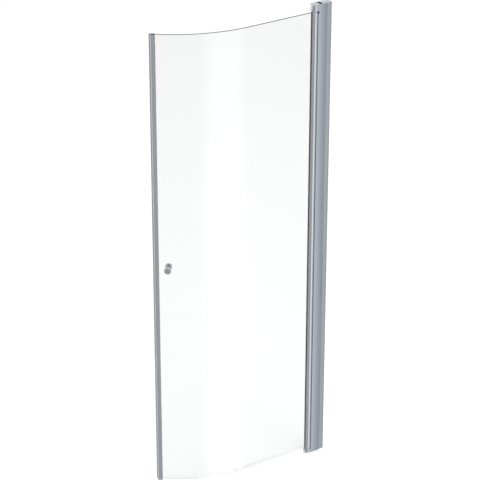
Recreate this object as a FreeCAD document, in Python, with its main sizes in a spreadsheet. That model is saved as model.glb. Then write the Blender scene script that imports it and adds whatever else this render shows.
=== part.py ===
import FreeCAD, Part
import math
import os
from collections import namedtuple

import Sketcher
from FreeCAD import Placement, Rotation, Vector

# One curved, outward-opening shower door: half of a rounded corner enclosure.
# Millimetres and degrees. The wall is the plane x = 0 and the door runs from it to -x.
# The room is on the -y side, the shower on the +y side, and z = 0 is the shower floor.

SIZES = {
    # wall rail
    "post_height": "2000",
    "rail_depth": "43",
    "rail_wall": "2",
    "rail_play": "0.5",
    "wall_hole_radius": "2.75",
    "wall_hole_margin": "100",
    "rail_cap_height": "3",
    "rail_cap_play": "0.1",
    # width adjustment between rail and post
    "adjust_out": "8",
    "adjust_in": "6",
    "adjust_setback": "36",
    "adjust_margin": "200",
    "adjust_screw_radius": "2.5",
    "adjust_head_radius": "4.5",
    "adjust_head_height": "2.6",
    "adjust_washer_radius": "6.5",
    "adjust_washer_thickness": "1",
    "adjust_slot_play": "0.3",
    # hinge post
    "post_thickness": "32",
    "post_wall": "2",
    "wall_to_axis": "72",
    "lip_offset": "8",
    "lip_notch_depth": "3.5",
    "lip_notch_drop": "5",
    "skirt_gap": "21",
    "web_thickness": "4",
    "port_radius": "2",
    "port_reach": "14.5",
    "port_offset": "12",
    "seal_width": "3",
    "seal_depth": "2",
    "seal_play": "0.1",
    "seal_gap": "0.3",
    # hinge blocks and their screws
    "foot_height": "17",
    "foot_floor": "3",
    "foot_gap": "3",
    "foot_lead": "2",
    "head_reach": "32",
    "head_roof": "3",
    "block_play": "0.1",
    "block_screw_radius": "2",
    "block_screw_offset": "7",
    "block_screw_bite": "10",
    "block_head_radius": "3.2",
    "block_head_height": "2.4",
    # swing and rise
    "swing": "90",
    "lift": "5",
    "lift_clearance": "0.6",
    "cam_radius": "9",
    "cam_room": "0.5",
    "cam_base": "1",
    "cam_play": "0.3",
    "cam_step_play": "2.5",
    "pin_radius": "3",
    "pin_play": "0.05",
    "pin_flat": "2",
    "lower_pin_length": "45",
    "shank_length": "30",
    "peg_length": "20",
    "peg_play": "0.1",
    "neck_radius": "13",
    "neck_height": "7",
    "neck_room": "0.4",
    "collar_radius": "6",
    "collar_height": "2",
    "bush_radius": "5.5",
    # pivot profile
    "nose_radius": "14.5",
    "socket_clearance": "0.5",
    "core_radius": "4.5",
    "core_play": "0.05",
    "chamber_radius": "3.2",
    "chamber_reach": "6.5",
    "chamber_offset": "7.5",
    "glass_slot_width": "10",
    "glass_slot_floor": "6",
    "gasket_proud": "1.5",
    "gasket_base": "1.5",
    "gasket_play": "0.05",
    # glass
    "glass_thickness": "6",
    "glass_rise": "5",
    "bend_radius": "500",
    "bend_angle": "45",
    "flat_run": "380",
    # closing edge, measured from the plane where the two doors meet
    "edge_reach": "23",
    "edge_middle": "15",
    "edge_start": "4",
    "edge_bevel_reach": "4",
    "edge_bevel_rise": "2",
    "edge_thickness": "12",
    "edge_channel_width": "8",
    "edge_channel_floor": "9",
    "edge_glass_floor": "10",
    "edge_play": "0.1",
    "edge_cap_height": "2",
    "edge_foot_height": "19",
    "magnet_stem_width": "3",
    "magnet_stem_depth": "3",
    "magnet_seal_width": "8",
    "magnet_skin": "0.8",
    # bottom seal
    "sweep_start": "19",
    "sweep_wall": "1.2",
    "sweep_play": "0.05",
    "sweep_grip": "14",
    "sweep_base": "3",
    "sweep_lip_height": "19",
    "sweep_lip_width": "1.4",
    "sweep_fin_reach": "4",
    "sweep_fin_height": "1.5",
    # knobs
    "knob_setback": "60",
    "knob_height": "992",
    "knob_radius": "14",
    "knob_length": "21",
    "knob_neck_radius": "6.5",
    "knob_neck_length": "11",
    "knob_edge": "1.5",
    "knob_dish_radius": "10",
    "knob_dish_depth": "1",
    "knob_bore_depth": "15",
    "stud_radius": "3",
    "sleeve_radius": "6",
    "knob_washer_radius": "9",
    "knob_washer_thickness": "1",
    # every cut runs this far past the face it opens
    "overrun": "1",
}

os.makedirs("parts", exist_ok=True)
doc = FreeCAD.newDocument("shower_door")
sheet = doc.addObject("Spreadsheet::Sheet", "Sizes")
for row, (name, text) in enumerate(SIZES.items(), start=1):
    sheet.set(f"A{row}", text)
    sheet.setAlias(f"A{row}", name)
doc.recompute()


class Size:
    """A length or an angle, with the formula that ties it to the sheet."""

    def __init__(self, value, formula):
        self.value = value
        self.formula = formula

    def __add__(self, other):
        other = as_size(other)
        return Size(self.value + other.value, f"({self.formula} + {other.formula})")

    def __sub__(self, other):
        other = as_size(other)
        return Size(self.value - other.value, f"({self.formula} - {other.formula})")

    def __mul__(self, other):
        other = as_size(other)
        return Size(self.value * other.value, f"({self.formula} * {other.formula})")

    def __truediv__(self, other):
        other = as_size(other)
        return Size(self.value / other.value, f"({self.formula} / {other.formula})")

    def __neg__(self):
        return Size(-self.value, f"(0 - {self.formula})")

    def __radd__(self, other):
        return as_size(other) + self

    def __rsub__(self, other):
        return as_size(other) - self

    def __rmul__(self, other):
        return as_size(other) * self


def as_size(item):
    return item if isinstance(item, Size) else Size(float(item), repr(item))


def sine(angle):
    return Size(math.sin(math.radians(angle.value)), f"sin({angle.formula})")


def cosine(angle):
    return Size(math.cos(math.radians(angle.value)), f"cos({angle.formula})")


def root(square):
    return Size(math.sqrt(square.value), f"sqrt({square.formula})")


def across(radius, reach):
    """Half the chord of a circle at a distance from its centre."""
    return root(radius * radius - reach * reach)


Sizes = namedtuple("Sizes", SIZES)
size = Sizes(*[Size(float(sheet.get(name)), f"Sizes.{name}") for name in SIZES])
half_turn = Size(180.0, "180")
Bend = namedtuple("Bend", "x y radius turn")
nodes = []


def bind(item, path, value):
    item.setExpression(path, as_size(value).formula)


def place(item, x=0, y=0, z=0, turn=0):
    """Stand a piece at a point of the shared frame, turned about the vertical."""
    item.Placement = Placement(Vector(), Rotation(Vector(0, 0, 1), 1))
    bind(item, "Placement.Rotation.Angle", turn)
    for axis, value in zip("xyz", (x, y, z)):
        bind(item, f"Placement.Base.{axis}", value)


def new_body(label, **where):
    body = doc.addObject("PartDesign::Body", label)
    body.Label = label
    body.AllowCompound = True
    place(body, **where)
    nodes.append(body)
    return body


def sketch_on(body, plane="XY_Plane", offset=0):
    sketch = body.newObject("Sketcher::SketchObject", f"{body.Label}_sketch")
    support = [item for item in body.Origin.OriginFeatures if item.Role == plane]
    sketch.AttachmentSupport = [(support[0], "")]
    sketch.MapMode = "FlatFace"
    bind(sketch, "AttachmentOffset.Base.z", offset)
    return sketch


def dimension(sketch, kind, value, *places):
    value = as_size(value)
    index = sketch.addConstraint(Sketcher.Constraint(kind, *places, value.value))
    sketch.setExpression(f"Constraints[{index}]", value.formula)


def locate(sketch, x, y, edge, point):
    dimension(sketch, "DistanceX", x, -1, 1, edge, point)
    dimension(sketch, "DistanceY", y, -1, 1, edge, point)


def circle(sketch, x, y, radius):
    x, y, radius = as_size(x), as_size(y), as_size(radius)
    centre = Vector(x.value, y.value, 0)
    edge = sketch.addGeometry(Part.Circle(centre, Vector(0, 0, 1), radius.value))
    locate(sketch, x, y, edge, 3)
    dimension(sketch, "Radius", radius, edge)


def add_side(sketch, start, finish, bend):
    """Draw one side of an outline and say which of its ends is which."""
    if bend is None:
        return sketch.addGeometry(Part.LineSegment(start, finish)), (1, 2)
    centre = Vector(as_size(bend.x).value, as_size(bend.y).value, 0)
    angles = [math.atan2(end.y - centre.y, end.x - centre.x) for end in (start, finish)]
    ends = (1, 2)
    if bend.turn < 0:
        angles.reverse()
        ends = (2, 1)
    if angles[1] <= angles[0]:
        angles[1] += 2 * math.pi
    round_path = Part.Circle(centre, Vector(0, 0, 1), bend.radius.value)
    edge = sketch.addGeometry(Part.ArcOfCircle(round_path, *angles))
    locate(sketch, bend.x, bend.y, edge, 3)
    dimension(sketch, "Radius", bend.radius, edge)
    return edge, ends


def outline(sketch, *path):
    """Draw a closed outline of corners (x, y), with a Bend where a side is an arc."""
    corners, bends = [], {}
    for item in path:
        if isinstance(item, Bend):
            bends[len(corners) - 1] = item
        else:
            corners.append([as_size(part) for part in item])
    points = [Vector(x.value, y.value, 0) for x, y in corners]
    count = len(points)
    sides = [
        add_side(sketch, points[index], points[(index + 1) % count], bends.get(index))
        for index in range(count)
    ]
    for index, (edge, ends) in enumerate(sides):
        before, before_ends = sides[index - 1]
        joint = (before, before_ends[1], edge, ends[0])
        sketch.addConstraint(Sketcher.Constraint("Coincident", *joint))
        bend = bends.get(index) or bends.get((index - 1) % count)
        x, y = corners[index]
        if bend is None:
            locate(sketch, x, y, edge, ends[0])
            continue
        steep = abs(y.value - as_size(bend.y).value) >= abs(x.value - as_size(bend.x).value)
        kind, value = ("DistanceX", x) if steep else ("DistanceY", y)
        dimension(sketch, kind, value, -1, 1, edge, ends[0])


def rectangle(sketch, left, low, right, high):
    outline(sketch, (left, low), (right, low), (right, high), (left, high))


def pad(body, sketch, length):
    feature = body.newObject("PartDesign::Pad", f"{body.Label}_pad")
    feature.Profile = sketch
    bind(feature, "Length", length)
    return feature


def cut(body, sketch, length, ahead=True):
    """Remove what a sketch covers, ahead of its plane or behind it."""
    feature = body.newObject("PartDesign::Pocket", f"{body.Label}_cut")
    feature.Profile = sketch
    feature.Reversed = ahead
    bind(feature, "Length", length)
    return feature


def revolve(body, sketch):
    feature = body.newObject("PartDesign::Revolution", f"{body.Label}_turned")
    feature.Profile = sketch
    feature.ReferenceAxis = (sketch, ["V_Axis"])
    feature.Angle = 360
    return feature


# Levels that several pieces share
pivot_low = size.foot_height + size.foot_gap
glass_low = pivot_low + size.glass_rise
glass_high = size.post_height - size.head_reach
glass_height = glass_high - glass_low
pivot_height = glass_high - pivot_low
head_low = glass_high + size.lift + size.lift_clearance
neck_high = glass_high + size.neck_height
collar_high = neck_high + size.collar_height
neck_room_high = neck_high + size.lift + size.lift_clearance
bush_low = neck_room_high + size.collar_height
bush_high = size.post_height - size.head_roof
axis_x = -size.wall_to_axis
post_half = size.post_thickness / 2
glass_half = size.glass_thickness / 2

# Wall rail: a channel screwed to the wall through its back, open towards the door
rail_half = post_half - size.post_wall - size.rail_play
wall_profile = new_body("wall_profile")
section = sketch_on(wall_profile)
outline(
    section,
    (0, -rail_half),
    (0, rail_half),
    (-size.rail_depth, rail_half),
    (-size.rail_depth, rail_half - size.rail_wall),
    (-size.rail_wall, rail_half - size.rail_wall),
    (-size.rail_wall, size.rail_wall - rail_half),
    (-size.rail_depth, size.rail_wall - rail_half),
    (-size.rail_depth, -rail_half),
)
pad(wall_profile, section, size.post_height)
holes = sketch_on(wall_profile, "YZ_Plane")
hole_step = (size.post_height - 2 * size.wall_hole_margin) / 3
for index in range(4):
    circle(holes, 0, size.wall_hole_margin + index * hole_step, size.wall_hole_radius)
cut(wall_profile, holes, size.rail_wall + size.overrun, ahead=False)

# Rail cap: a plug pressed into the top of the rail, flush with its end
cap_half = rail_half - size.rail_wall - size.rail_cap_play
rail_cap = new_body("rail_cap")
section = sketch_on(rail_cap, offset=size.post_height - size.rail_cap_height)
rectangle(section, -size.rail_depth, -cap_half, -(size.rail_wall + size.rail_cap_play), cap_half)
pad(rail_cap, section, size.rail_cap_height)

# Adjusting screws: threaded into the rail's shower-side arm, they clamp the post to it
adjust_heights = (
    size.adjust_margin,
    size.post_height / 2,
    size.post_height - size.adjust_margin,
)


def screw_marks(sketch, radius, reach=-size.adjust_setback):
    for level in adjust_heights:
        circle(sketch, reach, level, radius)


marks = sketch_on(wall_profile, "XZ_Plane", -rail_half)
screw_marks(marks, size.adjust_screw_radius)
cut(wall_profile, marks, size.rail_wall + size.overrun)

adjusting_screws = new_body("adjusting_screws")
marks = sketch_on(adjusting_screws, "XZ_Plane", -(post_half + size.adjust_washer_thickness))
screw_marks(marks, size.adjust_screw_radius)
pad(adjusting_screws, marks, size.adjust_washer_thickness + size.post_wall + size.rail_play + size.rail_wall)
marks = sketch_on(
    adjusting_screws,
    "XZ_Plane",
    -(post_half + size.adjust_washer_thickness + size.adjust_head_height),
)
screw_marks(marks, size.adjust_head_radius)
pad(adjusting_screws, marks, size.adjust_head_height)

adjusting_washers = new_body("adjusting_washers")
marks = sketch_on(adjusting_washers, "XZ_Plane", -(post_half + size.adjust_washer_thickness))
screw_marks(marks, size.adjust_washer_radius)
screw_marks(marks, size.adjust_screw_radius)
pad(adjusting_washers, marks, size.adjust_washer_thickness)

# Hinge post: an extrusion whose skirts slide over the rail and whose round socket,
# on the door side, houses the pivot profile
socket_radius = size.nose_radius + size.socket_clearance
web_back = socket_radius + size.web_thickness
skirt_end = size.wall_to_axis - size.skirt_gap
skirt_half = post_half - size.post_wall
lip_half = across(socket_radius, size.lip_offset)
groove_half = size.seal_width / 2
groove_start = across(socket_radius, groove_half)
groove_floor = socket_radius + size.seal_depth
hinge_post = new_body("hinge_post", x=axis_x)
section = sketch_on(hinge_post)
outline(
    section,
    (size.lip_offset, post_half),
    (skirt_end, post_half),
    (skirt_end, skirt_half),
    (web_back, skirt_half),
    (web_back, -skirt_half),
    (skirt_end, -skirt_half),
    (skirt_end, -post_half),
    (size.lip_offset, -post_half),
    (size.lip_offset, -lip_half),
    Bend(0, 0, socket_radius, 1),
    (groove_start, -groove_half),
    (groove_floor, -groove_half),
    (groove_floor, groove_half),
    (groove_start, groove_half),
    Bend(0, 0, socket_radius, 1),
    (size.lip_offset, lip_half),
)
for side in (-1, 1):
    circle(section, size.port_reach, side * size.port_offset, size.port_radius)
pad(hinge_post, section, size.post_height)

# Slots in the shower-side skirt let the post slide past the adjusting screws
slot_radius = size.adjust_screw_radius + size.adjust_slot_play
slot_left = size.wall_to_axis - size.adjust_setback - size.adjust_in
slot_right = size.wall_to_axis - size.adjust_setback + size.adjust_out
slots = sketch_on(hinge_post, "XZ_Plane", -post_half)
for level in adjust_heights:
    outline(
        slots,
        (slot_left, level - slot_radius),
        (slot_right, level - slot_radius),
        Bend(slot_right, level, slot_radius, 1),
        (slot_right, level + slot_radius),
        (slot_left, level + slot_radius),
        Bend(slot_left, level, slot_radius, 1),
    )
cut(hinge_post, slots, size.post_wall + size.overrun)

# A notch in both lips, just under the head, leaves the top of the pivot free
notches = sketch_on(hinge_post, "XZ_Plane", -post_half)
rectangle(
    notches,
    size.lip_offset - size.overrun,
    glass_high - size.lip_notch_drop,
    size.lip_offset + size.lip_notch_depth,
    head_low,
)
cut(hinge_post, notches, size.post_thickness + size.overrun)

# Holes for the screws that hold the head and the foot in the socket
block_levels = (size.foot_height / 2, (bush_low + size.post_height) / 2)


def block_marks(sketch, radius, levels=block_levels):
    for level in levels:
        for side in (-1, 1):
            circle(sketch, side * size.block_screw_offset, level, radius)


holes = sketch_on(hinge_post, "YZ_Plane", web_back)
block_marks(holes, size.block_screw_radius)
cut(hinge_post, holes, size.web_thickness + socket_radius - size.block_screw_bite, ahead=False)

block_screws = new_body("block_screws", x=axis_x)
marks = sketch_on(block_screws, "YZ_Plane", size.block_screw_bite)
block_marks(marks, size.block_screw_radius)
pad(block_screws, marks, web_back - size.block_screw_bite)
marks = sketch_on(block_screws, "YZ_Plane", web_back)
block_marks(marks, size.block_head_radius)
pad(block_screws, marks, size.block_head_height)

# Hinge seal: a soft strip in the back of the socket that brushes the pivot profile
hinge_seal = new_body("hinge_seal", x=axis_x)
section = sketch_on(hinge_seal, offset=size.foot_height)
rectangle(
    section,
    size.nose_radius + size.seal_gap,
    size.seal_play - groove_half,
    groove_floor - size.seal_play,
    groove_half - size.seal_play,
)
pad(hinge_seal, section, head_low - size.foot_height)


shoulder = size.lip_offset - size.block_play


def block_outline(sketch, nose_x=0):
    """Plan of a hinge block: a round nose, flush sides, and a back that fills the socket."""
    back_radius = socket_radius - size.block_play
    back_half = across(back_radius, shoulder)
    outline(
        sketch,
        (nose_x, post_half),
        Bend(nose_x, 0, post_half, 1),
        (nose_x, -post_half),
        (shoulder, -post_half),
        (shoulder, -back_half),
        Bend(0, 0, back_radius, 1),
        (shoulder, back_half),
        (shoulder, post_half),
    )


def bore_for_screws(body, level):
    marks = sketch_on(body, "YZ_Plane", socket_radius)
    block_marks(marks, size.block_screw_radius, [level])
    cut(body, marks, socket_radius - size.block_screw_bite, ahead=False)


# Foot block: closes the socket at the floor and holds the lower pin and the cam
cam_well_radius = size.cam_radius + size.cam_room
foot_block = new_body("foot_block", x=axis_x)
section = sketch_on(foot_block)
block_outline(section, -size.foot_lead)
pad(foot_block, section, size.foot_height)
well = sketch_on(foot_block, offset=size.foot_floor)
circle(well, 0, 0, cam_well_radius)
cut(foot_block, well, size.foot_height)
hole = sketch_on(foot_block)
circle(hole, 0, 0, size.pin_radius)
cut(foot_block, hole, size.foot_floor + size.overrun)
bore_for_screws(foot_block, block_levels[0])

lower_pivot_pin = new_body("lower_pivot_pin", x=axis_x)
section = sketch_on(lower_pivot_pin)
circle(section, 0, 0, size.pin_radius)
pad(lower_pivot_pin, section, size.lower_pin_length)


def helical_cut(body, low, high, turns, height):
    """Cut two equal ramps, half a turn apart, that climb anticlockwise from above."""
    blade = sketch_on(body, "XZ_Plane")
    rectangle(blade, size.pin_radius - size.overrun, low, size.cam_radius + size.overrun, high)
    ramp = body.newObject("PartDesign::SubtractiveHelix", f"{body.Label}_ramp")
    ramp.Profile = blade
    ramp.ReferenceAxis = (blade, ["V_Axis"])
    ramp.Mode = "height-turns-angle"
    bind(ramp, "Height", height)
    bind(ramp, "Turns", turns)
    doc.recompute()
    both = body.newObject("PartDesign::PolarPattern", f"{body.Label}_ramps")
    both.Originals = [ramp]
    both.Axis = (blade, ["V_Axis"])
    both.Angle = 360
    both.Occurrences = 2
    body.Tip = both


# Lower cam: two helical ramps in the foot; the door climbs them as it opens
bore_radius = size.pin_radius + size.pin_play
cam_rise = size.lift * half_turn / size.swing
ramp_low = size.foot_floor + size.cam_base
ramp_high = ramp_low + cam_rise
lower_cam = new_body("lower_cam", x=axis_x)
section = sketch_on(lower_cam, offset=size.foot_floor)
circle(section, 0, 0, size.cam_radius)
circle(section, 0, 0, bore_radius)
pad(lower_cam, section, size.cam_base + cam_rise)
helical_cut(lower_cam, ramp_low, ramp_high + size.overrun, Size(0.5, "0.5"), cam_rise)

# Head block: closes the socket at the top and hides the neck the door turns under
head_block = new_body("head_block", x=axis_x)
section = sketch_on(head_block, offset=head_low)
block_outline(section)
pad(head_block, section, size.post_height - head_low)
for radius, level in (
    (size.neck_radius + size.neck_room, neck_room_high),
    (size.collar_radius + size.neck_room, bush_low),
    (size.bush_radius, bush_high),
):
    room = sketch_on(head_block, offset=head_low)
    circle(room, 0, 0, radius)
    cut(head_block, room, level - head_low)
bore_for_screws(head_block, block_levels[1])


def keyed_outline(sketch, radius, flat):
    """A circle with one flat, so that a shaft slides but cannot turn."""
    side = across(radius, flat)
    outline(sketch, (flat, side), Bend(0, 0, radius, 1), (flat, -side))


# Upper bush: guides the keyed pin up and down in the head
upper_bush = new_body("upper_bush", x=axis_x)
section = sketch_on(upper_bush, offset=bush_low)
circle(section, 0, 0, size.bush_radius)
keyed_outline(section, bore_radius, size.pin_flat + size.pin_play)
pad(upper_bush, section, bush_high - bush_low)

# Upper pivot pin: rides up with the door on its collar, keyed so that it does not turn
upper_pin_top = bush_high - size.lift - size.lift_clearance
upper_pivot_pin = new_body("upper_pivot_pin", x=axis_x)
section = sketch_on(upper_pivot_pin, offset=glass_high - size.shank_length)
circle(section, 0, 0, size.pin_radius)
pad(upper_pivot_pin, section, size.shank_length + size.neck_height)
section = sketch_on(upper_pivot_pin, offset=neck_high)
circle(section, 0, 0, size.collar_radius)
pad(upper_pivot_pin, section, size.collar_height)
section = sketch_on(upper_pivot_pin, offset=collar_high)
keyed_outline(section, size.pin_radius, size.pin_flat)
pad(upper_pivot_pin, section, upper_pin_top - collar_high)

# Pivot profile: a round extrusion with a slot for the glass and a core for the bearings
slot_half = size.glass_slot_width / 2
slot_mouth = across(size.nose_radius, slot_half)
pivot_profile = new_body("pivot_profile", x=axis_x)
section = sketch_on(pivot_profile, offset=pivot_low)
outline(
    section,
    (-slot_mouth, -slot_half),
    Bend(0, 0, size.nose_radius, 1),
    (-slot_mouth, slot_half),
    (-size.glass_slot_floor, slot_half),
    (-size.glass_slot_floor, -slot_half),
)
circle(section, 0, 0, size.core_radius)
for side in (-1, 1):
    circle(section, size.chamber_reach, side * size.chamber_offset, size.chamber_radius)
pad(pivot_profile, section, pivot_height)


def add_shank(body, low):
    """Round shank that fills the core of the pivot profile."""
    section = sketch_on(body, offset=low)
    circle(section, 0, 0, size.core_radius - size.core_play)
    pad(body, section, size.shank_length)


def add_pegs(body, low):
    """Two pegs in the side chambers, so that bearing and profile turn as one."""
    section = sketch_on(body, offset=low)
    for side in (-1, 1):
        circle(
            section,
            size.chamber_reach,
            side * size.chamber_offset,
            size.chamber_radius - size.peg_play,
        )
    pad(body, section, size.peg_length)


def bore_through(body, low, length):
    hole = sketch_on(body, offset=low)
    circle(hole, 0, 0, bore_radius)
    cut(body, hole, length)


# Top bearing cap: plugs the pivot profile and turns on the upper pin
top_bearing = new_body("top_bearing", x=axis_x)
section = sketch_on(top_bearing, offset=glass_high)
circle(section, 0, 0, size.neck_radius)
pad(top_bearing, section, size.neck_height)
add_shank(top_bearing, glass_high - size.shank_length)
add_pegs(top_bearing, glass_high - size.peg_length)
bore_through(
    top_bearing,
    glass_high - size.shank_length - size.overrun,
    size.shank_length + size.neck_height + 2 * size.overrun,
)

# Cam follower: plugs the lower end of the pivot profile and rides on the cam
flange_low = size.foot_height + size.cam_play
skirt_low = ramp_low + size.cam_play
follower_turns = (half_turn + size.cam_step_play) / (2 * half_turn)
follower_rise = cam_rise * follower_turns * 2
cam_follower = new_body("cam_follower", x=axis_x)
section = sketch_on(cam_follower, offset=skirt_low)
circle(section, 0, 0, size.cam_radius)
circle(section, 0, 0, bore_radius)
pad(cam_follower, section, flange_low - skirt_low)
helical_cut(cam_follower, skirt_low - follower_rise, skirt_low, follower_turns, follower_rise)
section = sketch_on(cam_follower, offset=flange_low)
circle(section, 0, 0, size.nose_radius)
pad(cam_follower, section, pivot_low - flange_low)
add_shank(cam_follower, pivot_low)
add_pegs(cam_follower, pivot_low)
bore_through(cam_follower, flange_low, pivot_low - flange_low + size.shank_length + size.overrun)

# Glazing gasket: a vinyl channel that beds the glass in the pivot profile
gasket_back = size.glass_slot_floor + size.gasket_play
gasket_front = size.nose_radius + size.gasket_proud
glass_seat = gasket_back + size.gasket_base
gasket_half = slot_half - size.gasket_play
glazing_gasket = new_body("glazing_gasket", x=axis_x)
section = sketch_on(glazing_gasket, offset=pivot_low)
outline(
    section,
    (-gasket_front, -gasket_half),
    (-gasket_back, -gasket_half),
    (-gasket_back, gasket_half),
    (-gasket_front, gasket_half),
    (-gasket_front, glass_half),
    (-glass_seat, glass_half),
    (-glass_seat, -glass_half),
    (-gasket_front, -glass_half),
)
pad(glazing_gasket, section, pivot_height)


def turn_at(distance):
    """Angle round the bend of the point this far along the arc from the meeting plane."""
    return size.bend_angle - distance / size.bend_radius * half_turn / Size(math.pi, "pi")


def on_arc(angle, offset=0):
    """Plan point at an angle round the bend, offset towards the shower."""
    radius = size.bend_radius - offset
    return (-size.flat_run - radius * sine(angle), size.bend_radius - radius * cosine(angle))


def bent_strip(sketch, start, last_turn, outer, inner):
    """Plan of a strip along the door: a flat run, then the bend, between two offsets."""
    outline(
        sketch,
        (start, -outer),
        (-size.flat_run, -outer),
        Bend(-size.flat_run, size.bend_radius, size.bend_radius + outer, -1),
        on_arc(last_turn, -outer),
        on_arc(last_turn, inner),
        Bend(-size.flat_run, size.bend_radius, size.bend_radius - inner, 1),
        (-size.flat_run, inner),
        (start, inner),
    )


# Glass: one pane of toughened glass, flat by the hinge and bent to the free edge
knob_turn = turn_at(size.knob_setback)
knob_x, knob_y = on_arc(knob_turn)
glass_panel = new_body("glass_panel")
section = sketch_on(glass_panel, offset=glass_low)
bent_strip(section, axis_x - glass_seat, turn_at(size.edge_glass_floor), glass_half, glass_half)
pad(glass_panel, section, glass_height)
hole = sketch_on(glass_panel, "XZ_Plane")
hole.AttachmentOffset = Placement(Vector(), Rotation(Vector(0, 1, 0), 1))
bind(hole, "AttachmentOffset.Rotation.Angle", -knob_turn)
bind(hole, "AttachmentOffset.Base.x", knob_x)
bind(hole, "AttachmentOffset.Base.z", -knob_y)
circle(hole, 0, size.knob_height, size.sleeve_radius)
through = cut(glass_panel, hole, size.glass_thickness + 2 * size.overrun)
through.Midplane = True

# Closing edge: the pieces share a frame in the middle of the glass channel, with x
# along the glass towards the hinge
edge_turn = turn_at(size.edge_middle)
edge_x, edge_y = on_arc(edge_turn)
edge_place = {"x": edge_x, "y": edge_y, "turn": -edge_turn}
edge_half = size.edge_thickness / 2
channel_half = size.edge_channel_width / 2
stem_half = size.magnet_stem_width / 2
edge_front = size.edge_start - size.edge_middle
edge_back = size.edge_reach - size.edge_middle
bevel_back = edge_front + size.edge_bevel_reach
bevel_half = edge_half - size.edge_bevel_rise
channel_floor = size.edge_channel_floor - size.edge_middle
stem_floor = edge_front + size.magnet_stem_depth


def edge_outline(sketch):
    """Section of the closing profile: bevelled nose, slot for the magnet seal, glass channel."""
    outline(
        sketch,
        (edge_front, -bevel_half),
        (bevel_back, -edge_half),
        (edge_back, -edge_half),
        (edge_back, -channel_half),
        (channel_floor, -channel_half),
        (channel_floor, channel_half),
        (edge_back, channel_half),
        (edge_back, edge_half),
        (bevel_back, edge_half),
        (edge_front, bevel_half),
        (edge_front, stem_half),
        (stem_floor, stem_half),
        (stem_floor, -stem_half),
        (edge_front, -stem_half),
    )


closing_profile = new_body("closing_profile", **edge_place)
section = sketch_on(closing_profile, offset=glass_low)
edge_outline(section)
pad(closing_profile, section, glass_height - size.edge_cap_height)

closing_top_cap = new_body("closing_top_cap", **edge_place)
section = sketch_on(closing_top_cap, offset=glass_high - size.edge_cap_height)
edge_outline(section)
pad(closing_top_cap, section, size.edge_cap_height)

closing_foot = new_body("closing_foot", **edge_place)
section = sketch_on(closing_foot, offset=glass_low - size.edge_foot_height)
outline(
    section,
    (edge_front, -bevel_half),
    (bevel_back, -edge_half),
    (edge_back, -edge_half),
    (edge_back, edge_half),
    (bevel_back, edge_half),
    (edge_front, bevel_half),
)
pad(closing_foot, section, size.edge_foot_height)

# Edge gasket: beds the free edge of the glass in the closing profile
edge_gasket = new_body("edge_gasket")
bed_half = channel_half - size.edge_play
lining_half = glass_half + size.gasket_play
bed_turn = turn_at(size.edge_channel_floor + size.edge_play)
lining_turn = turn_at(size.edge_glass_floor - size.gasket_play)
mouth_turn = turn_at(size.edge_reach)
section = sketch_on(edge_gasket, offset=glass_low)
outline(
    section,
    on_arc(bed_turn, -bed_half),
    on_arc(bed_turn, bed_half),
    Bend(-size.flat_run, size.bend_radius, size.bend_radius - bed_half, 1),
    on_arc(mouth_turn, bed_half),
    on_arc(mouth_turn, lining_half),
    Bend(-size.flat_run, size.bend_radius, size.bend_radius - lining_half, -1),
    on_arc(lining_turn, lining_half),
    on_arc(lining_turn, -lining_half),
    Bend(-size.flat_run, size.bend_radius, size.bend_radius + lining_half, 1),
    on_arc(mouth_turn, -lining_half),
    on_arc(mouth_turn, -bed_half),
    Bend(-size.flat_run, size.bend_radius, size.bend_radius + bed_half, -1),
)
pad(edge_gasket, section, glass_height)

# Magnet seal: a vinyl sleeve along the free edge with a flexible magnet inside
sleeve_half = size.magnet_seal_width / 2
sleeve_back = edge_front - size.edge_play
magnet_seal = new_body("magnet_seal", **edge_place)
section = sketch_on(magnet_seal, offset=glass_low)
outline(
    section,
    (-size.edge_middle, -sleeve_half),
    (sleeve_back, -sleeve_half),
    (sleeve_back, size.edge_play - stem_half),
    (stem_floor - size.edge_play, size.edge_play - stem_half),
    (stem_floor - size.edge_play, stem_half - size.edge_play),
    (sleeve_back, stem_half - size.edge_play),
    (sleeve_back, sleeve_half),
    (-size.edge_middle, sleeve_half),
)
magnet_left = size.magnet_skin - size.edge_middle
magnet_right = sleeve_back - size.magnet_skin
magnet_half = sleeve_half - size.magnet_skin
rectangle(section, magnet_left, -magnet_half, magnet_right, magnet_half)
pad(magnet_seal, section, glass_height)

magnet_strip = new_body("magnet_strip", **edge_place)
section = sketch_on(magnet_strip, offset=glass_low)
rectangle(section, magnet_left, -magnet_half, magnet_right, magnet_half)
pad(magnet_strip, section, glass_height)

# Bottom seal: a clear vinyl sweep pushed up on the lower edge of the glass
sweep_inner = glass_half + size.sweep_play
sweep_outer = sweep_inner + size.sweep_wall
sweep_low = glass_low - size.sweep_base
sweep_left = axis_x - size.sweep_start
sweep_turn = turn_at(size.edge_reach + size.overrun)
lip_half_width = size.sweep_lip_width / 2
bottom_seal = new_body("bottom_seal")
section = sketch_on(bottom_seal, offset=sweep_low)
bent_strip(section, sweep_left, sweep_turn, sweep_outer, sweep_outer)
pad(bottom_seal, section, size.sweep_base + size.sweep_grip)
section = sketch_on(bottom_seal, offset=glass_low)
bent_strip(section, sweep_left + size.overrun, turn_at(size.edge_reach), sweep_inner, sweep_inner)
cut(bottom_seal, section, size.sweep_grip + size.overrun)
section = sketch_on(bottom_seal, offset=sweep_low - size.sweep_lip_height)
bent_strip(section, sweep_left, sweep_turn, lip_half_width, lip_half_width)
pad(bottom_seal, section, size.sweep_lip_height)
section = sketch_on(bottom_seal, offset=sweep_low)
bent_strip(section, sweep_left, sweep_turn, -sweep_inner, sweep_outer + size.sweep_fin_reach)
pad(bottom_seal, section, size.sweep_fin_height)

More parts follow.
